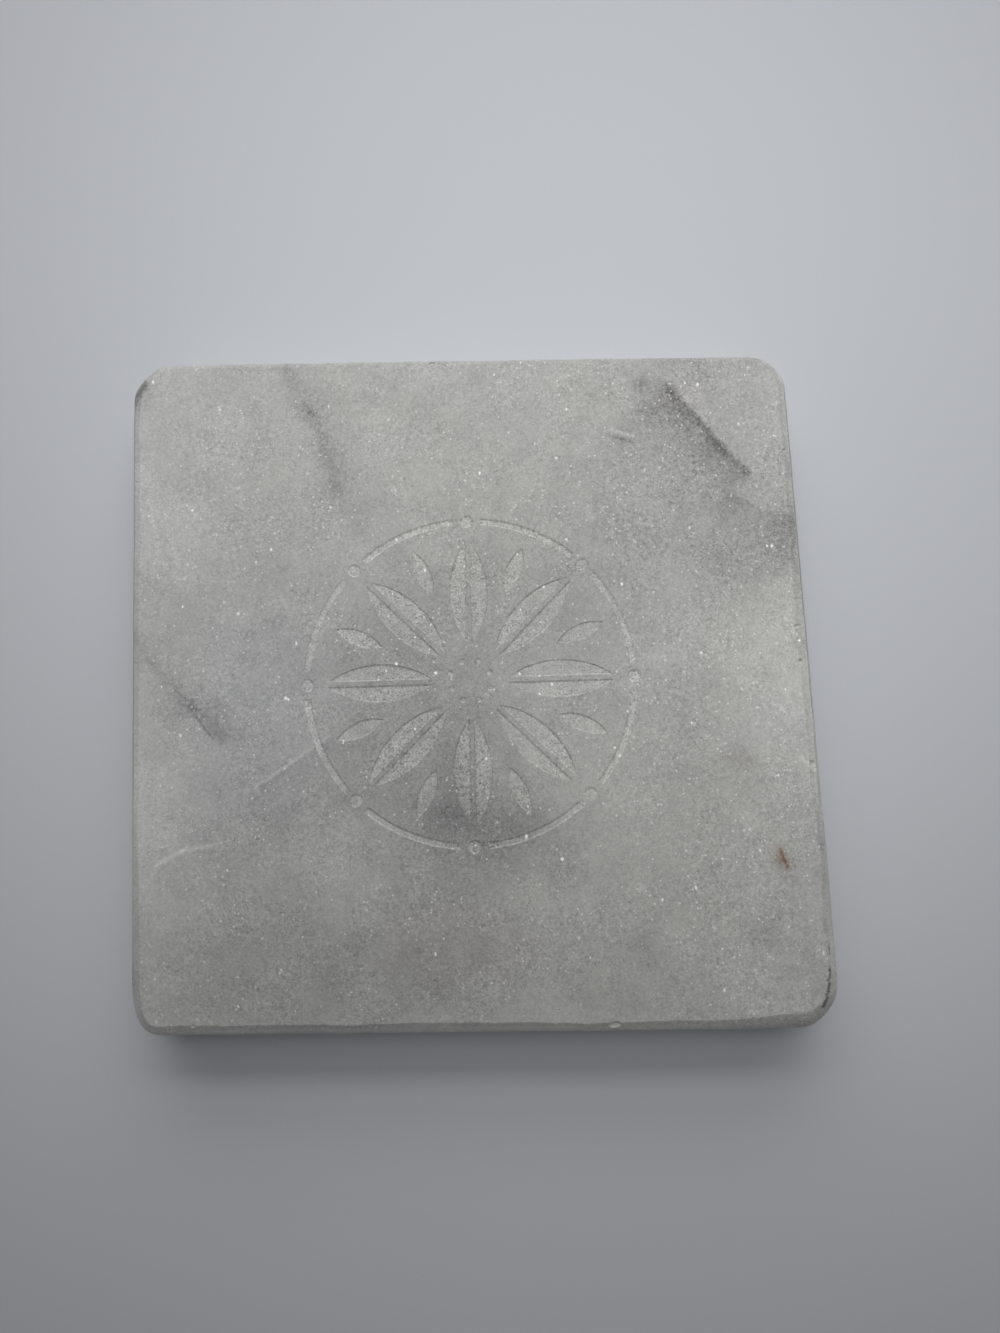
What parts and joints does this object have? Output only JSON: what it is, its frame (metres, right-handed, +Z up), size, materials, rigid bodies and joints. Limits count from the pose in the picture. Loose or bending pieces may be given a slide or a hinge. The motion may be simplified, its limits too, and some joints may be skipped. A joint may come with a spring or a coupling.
{
  "type": "drink coaster",
  "caption": "Square marble drink coaster with rounded corners, a bevelled top edge and a shallow engraved rosette, standing on round rubber feet stuck under its corners.",
  "frame": {"origin": "on the table under the middle of the tile, at the underside of the feet", "axes": "+Z up, out of the engraved face; +X to the right and +Y to the back as the rosette is read"},
  "size_m": [0.1, 0.1, 0.0122],
  "materials": {
    "marble": "honed crystalline marble, satin, with soft grey veins; frosted where it is engraved",
    "adhesive": "thin cloudy acrylic adhesive film",
    "rubber": "matt black neoprene rubber"
  },
  "bodies": {
    "root": {"marble_tile": "marble", "adhesive_front_left": "adhesive", "adhesive_front_right": "adhesive", "adhesive_back_left": "adhesive", "adhesive_back_right": "adhesive", "foot_front_left": "rubber", "foot_front_right": "rubber", "foot_back_left": "rubber", "foot_back_right": "rubber"}
  },
  "joints": []
}
